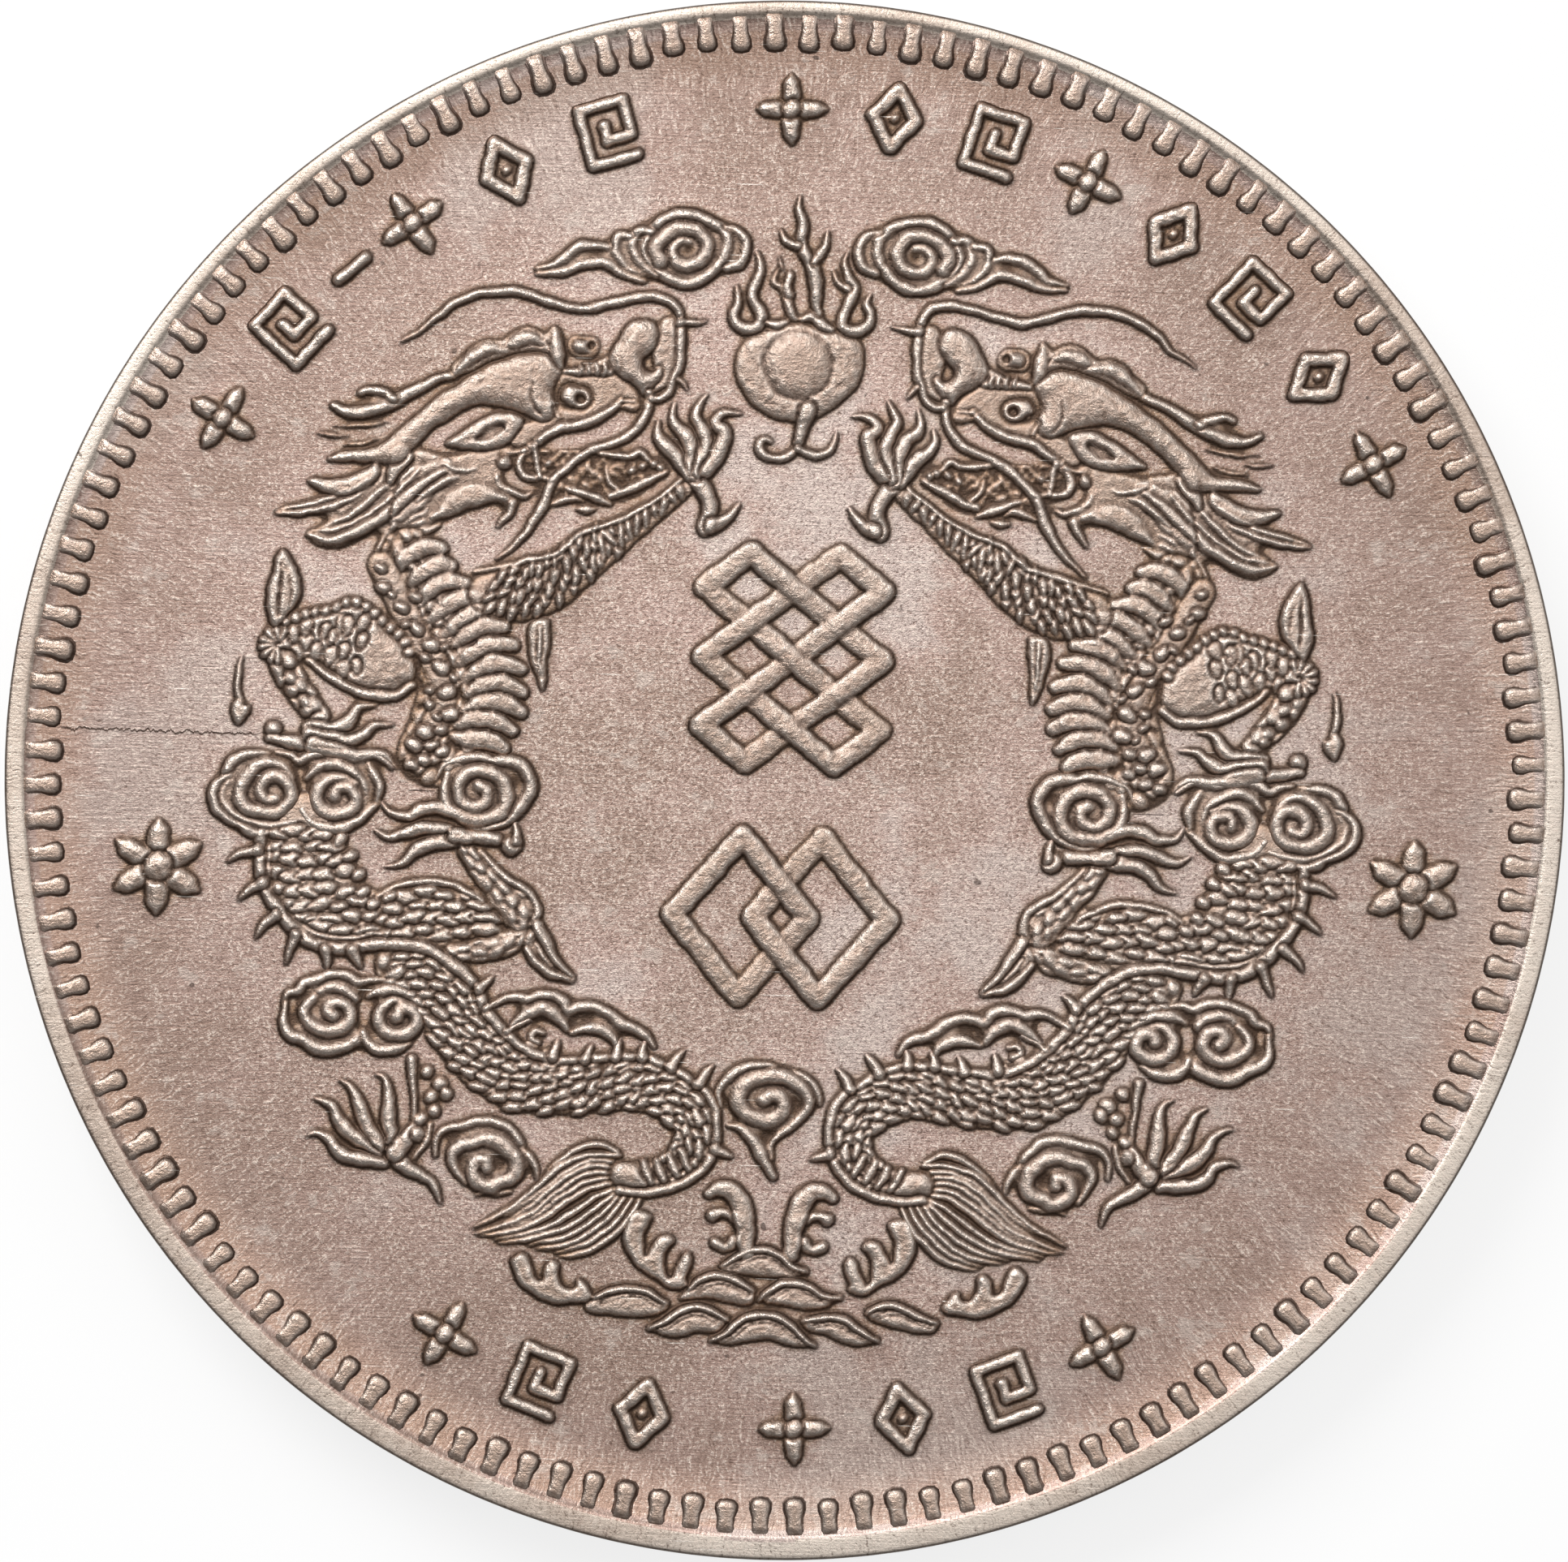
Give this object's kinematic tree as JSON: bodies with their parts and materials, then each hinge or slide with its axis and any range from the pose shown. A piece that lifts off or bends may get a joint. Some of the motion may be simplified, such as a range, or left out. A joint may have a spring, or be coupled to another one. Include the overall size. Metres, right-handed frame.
{
  "type": "silver tael coin",
  "caption": "Round struck silver coin with a milled edge and toothed rims: facing dragons and a flaming pearl over waves on one face, a beaded circle on the other.",
  "frame": {"origin": "centre of the flat rim of the back face, on which the coin lies", "axes": "+Z out of the dragon face, along the coin's axis, +Y towards the top of the dragon design, +X to its right"},
  "size_m": [0.041, 0.041, 0.0032],
  "materials": {
    "rim_silver": "toned coin silver, field satin with fine scratches, rim rubbed brighter",
    "relief_silver": "toned coin silver, struck relief with bright rubbed crests and dark brown hollows",
    "back_silver": "toned coin silver, plainer struck relief of the back"
  },
  "bodies": {
    "root": {"back_bead_circle": "back_silver", "back_denticles": "back_silver", "back_rosette": "back_silver", "back_ruyi_head_1": "back_silver", "back_ruyi_head_2": "back_silver", "back_ruyi_head_3": "back_silver", "back_ruyi_head_4": "back_silver", "bottom_cloud": "relief_silver", "centre_knot": "relief_silver", "centre_lozenges": "relief_silver", "dragon_side_denticles": "relief_silver", "flaming_pearl": "relief_silver", "left_arched_cloud": "relief_silver", "left_dragon_forequarters": "relief_silver", "left_dragon_hindquarters": "relief_silver", "left_leaf_fin": "relief_silver", "left_low_cloud": "relief_silver", "left_middle_cloud": "relief_silver", "left_middle_double_cloud": "relief_silver", "left_rosette": "relief_silver", "left_small_cloud": "relief_silver", "left_spark_flame": "relief_silver", "left_spray_arm": "relief_silver", "left_top_cloud": "relief_silver", "lower_ornament_01": "relief_silver", "lower_ornament_02": "relief_silver", "lower_ornament_03": "relief_silver", "lower_ornament_04": "relief_silver", "lower_ornament_05": "relief_silver", "lower_ornament_06": "relief_silver", "lower_ornament_07": "relief_silver", "planchet": "rim_silver", "right_arched_cloud": "relief_silver", "right_dragon_forequarters": "relief_silver", "right_dragon_hindquarters": "relief_silver", "right_leaf_fin": "relief_silver", "right_low_cloud": "relief_silver", "right_middle_cloud": "relief_silver", "right_middle_double_cloud": "relief_silver", "right_rosette": "relief_silver", "right_small_cloud": "relief_silver", "right_spark_flame": "relief_silver", "right_spray_arm": "relief_silver", "right_top_cloud": "relief_silver", "sea_waves": "relief_silver", "upper_ornament_01": "relief_silver", "upper_ornament_02": "relief_silver", "upper_ornament_03": "relief_silver", "upper_ornament_04": "relief_silver", "upper_ornament_05": "relief_silver", "upper_ornament_06": "relief_silver", "upper_ornament_07": "relief_silver", "upper_ornament_08": "relief_silver", "upper_ornament_09": "relief_silver", "upper_ornament_10": "relief_silver", "upper_ornament_11": "relief_silver", "upper_ornament_12": "relief_silver", "upper_ornament_13": "relief_silver", "upper_ornament_14": "relief_silver"}
  },
  "joints": []
}
